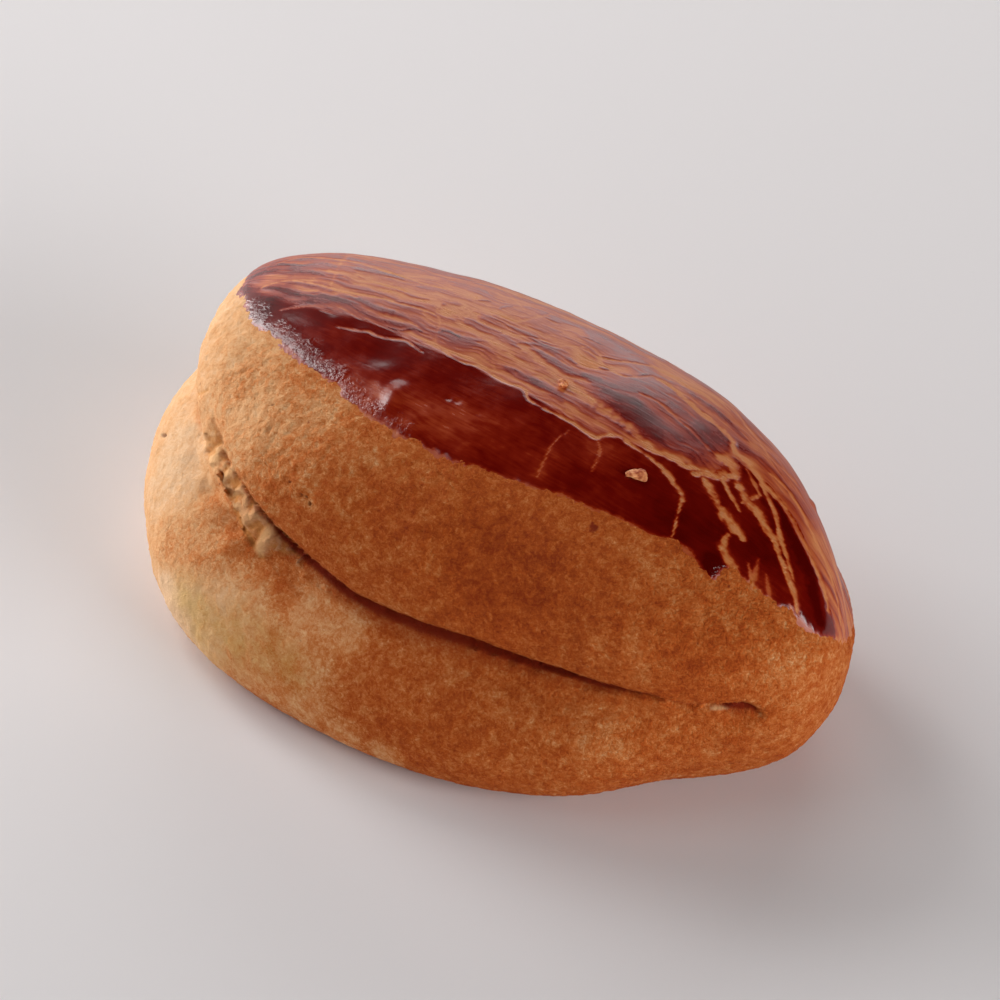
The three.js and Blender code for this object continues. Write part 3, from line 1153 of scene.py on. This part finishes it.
def crumb_finish():
    finish = Finish(bpy.data.materials.new("baked crumb"))
    place = finish.millimetres()
    bake = finish.noise(place, 0.6, detail=3.0)
    colour = finish.ramp(finish.ranged(bake, 0.3, 0.7), [
        (0.0, (0.82, 0.36, 0.15)), (0.5, (0.66, 0.20, 0.065)), (1.0, (0.40, 0.07, 0.02)),
    ])
    return finish.done({
        "Base Color": colour, "Normal": finish.bump(bake, 0.1), "Roughness": 0.6,
    })


def glaze_finish():
    finish = Finish(bpy.data.materials.new("baked egg wash"))
    place = finish.millimetres()
    brush = finish.add("UVMap", uv_map="brush").outputs["UV"]
    stroke = finish.add("VectorMath", {0: brush, 1: (1.3, 30.0, 0.0)}, operation="MULTIPLY")
    strokes = finish.noise(stroke.outputs[0], 1.0, detail=4.0, roughness=0.6)
    film = finish.varied(finish.attribute("film"), strokes, 0.30)
    cloudy = finish.noise(place, 2.0, detail=3.0, distortion=0.5)
    film = finish.varied(film, cloudy, 0.22)
    share = finish.math("DIVIDE", film, 1.4)
    wash = finish.ramp(share, [
        (0.00, (0.64, 0.27, 0.095)), (0.11, (0.60, 0.21, 0.062)), (0.22, (0.51, 0.13, 0.03)),
        (0.32, (0.42, 0.070, 0.014)), (0.43, (0.32, 0.032, 0.006)),
        (0.57, (0.21, 0.010, 0.0025)), (0.71, (0.135, 0.003, 0.001)),
        (1.00, (0.07, 0.001, 0.0005)),
    ])
    skin, crust_height = crust_skin(finish, place)
    covered = finish.ranged(film, 0.02, 0.24)
    colour = finish.blend(covered, finish.blend(0.5, skin, (*BARE_TAN, 1)), wash)
    streaky = finish.attribute("streaky")
    gloss = finish.ranged(film, 0.3, 1.0, 0.34, 0.12)
    gloss = finish.mix(covered, 0.72, finish.math("MULTIPLY_ADD", streaky, 0.13, gloss))
    roughness = finish.mix(finish.attribute("glossy"), 0.5, gloss)
    ripples = finish.noise(place, 0.50, detail=2.0)
    rippled = finish.ranged(finish.attribute("bumpy"), 0, 1, 0.015, 0.8)
    streaked = finish.ranged(film, 0.5, 1.0, 0.22, 0.0)
    streaked = finish.math("MAXIMUM", streaked, finish.math("MULTIPLY", streaky, 0.2))
    film_height = finish.math("MULTIPLY", ripples, rippled)
    film_height = finish.math("MULTIPLY_ADD", strokes, streaked, film_height)
    height = finish.mix(covered, finish.math("MULTIPLY", crust_height, 0.8), film_height)
    return finish.done({
        "Base Color": colour, "Roughness": roughness, "Normal": finish.bump(height, 0.15),
    })


# ---- Floor and light ----

# Its side in metres, and its look.
FLOOR_SIDE = 4
FLOOR_LOOK = {"Base Color": (0.83, 0.79, 0.79, 1), "Roughness": 0.6}


def add_floor():
    bpy.ops.mesh.primitive_plane_add(size=FLOOR_SIDE)
    floor = bpy.context.object
    floor.name = "floor"
    floor.data.materials.append(Finish(bpy.data.materials.new("floor")).done(FLOOR_LOOK))
    floor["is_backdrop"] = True


def add_softbox(name, azimuth, elevation, distance, size, power):
    """A square soft light, at a direction from the bun, turned to it."""
    out = direction(azimuth, elevation)
    bpy.ops.object.light_add(type="AREA", location=BUN_MIDDLE + out * distance)
    light = bpy.context.object
    light.name = name
    light.rotation_euler = (-out).to_track_quat("-Z", "Y").to_euler()
    light.data.size = size
    light.data.energy = power


# Softboxes: name, azimuth and elevation from the bun in degrees, side in metres, watts.
SOFTBOXES = [
    ("window", -95, 16, 0.7, 10.7),
    ("window top", -111, 40, 0.31, 2.5),
    ("back window", -153, 19, 0.80, 4.8),
    ("left fill", -60, 50, 0.6, 1.4),
    ("right reflector", 88, 16, 0.7, 11.6),
]
SOFTBOX_DISTANCE = 1.2

# The room glows from one side, most at the horizon, and is dark overhead and behind. The
# glow fades out between these heights, as sines.
ROOM_GLOW = 1.81
ROOM_GLOW_AZIMUTH = -60
ROOM_GLOW_FADE = (0.05, 0.75)


def add_light():
    """A room that glows from its front left, and the softboxes."""
    world = bpy.data.worlds.new("studio")
    bpy.context.scene.world = world
    room = Finish(world, "Background")
    seen = room.add("TexCoord").outputs["Generated"]
    height = room.add("SeparateXYZ", {0: seen}).outputs["Z"]
    height_glow = room.ranged(height, *ROOM_GLOW_FADE, ROOM_GLOW, 0.0)
    towards = direction(ROOM_GLOW_AZIMUTH, 0)
    side = room.add("VectorMath", {0: seen, 1: towards}, operation="DOT_PRODUCT")
    lit_side = room.math("MAXIMUM", side.outputs["Value"], 0.0)
    room.done({
        "Strength": room.math("MULTIPLY", lit_side, height_glow), "Color": (1, 1, 1, 1),
    })
    for name, azimuth, elevation, side_length, watts in SOFTBOXES:
        add_softbox(name, azimuth, elevation, SOFTBOX_DISTANCE, side_length, watts)


# ---- The bun ----

bpy.context.scene.view_settings.view_transform = "Standard"
add_camera()
add_floor()
add_light()

form = bun_form()
lip = lip_edge(form)
edge = glaze_edge(form)
bare_lines = laid_strokes(form, BARE_LINES)
thick_strokes = laid_strokes(form, THICK_STROKES)
open_seam(form, lip)
crust = make_crust(form, edge, lip)
glaze = make_glaze(form, edge, bare_lines, thick_strokes)
crumbs = [add_crumb(form, *crumb) for crumb in CRUMBS]
bpy.data.objects.remove(form)

crust.data.materials.clear()
for slot, pieces, finish in (
    ("crust", [crust], crust_finish()),
    ("glaze", [glaze], glaze_finish()),
    ("crumb", crumbs, crumb_finish()),
):
    for piece in pieces:
        piece.data.materials.append(finish)
        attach(piece, "root")
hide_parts("pogaca")

[[list(corner) for corner in box] for box in (cad_box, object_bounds())]
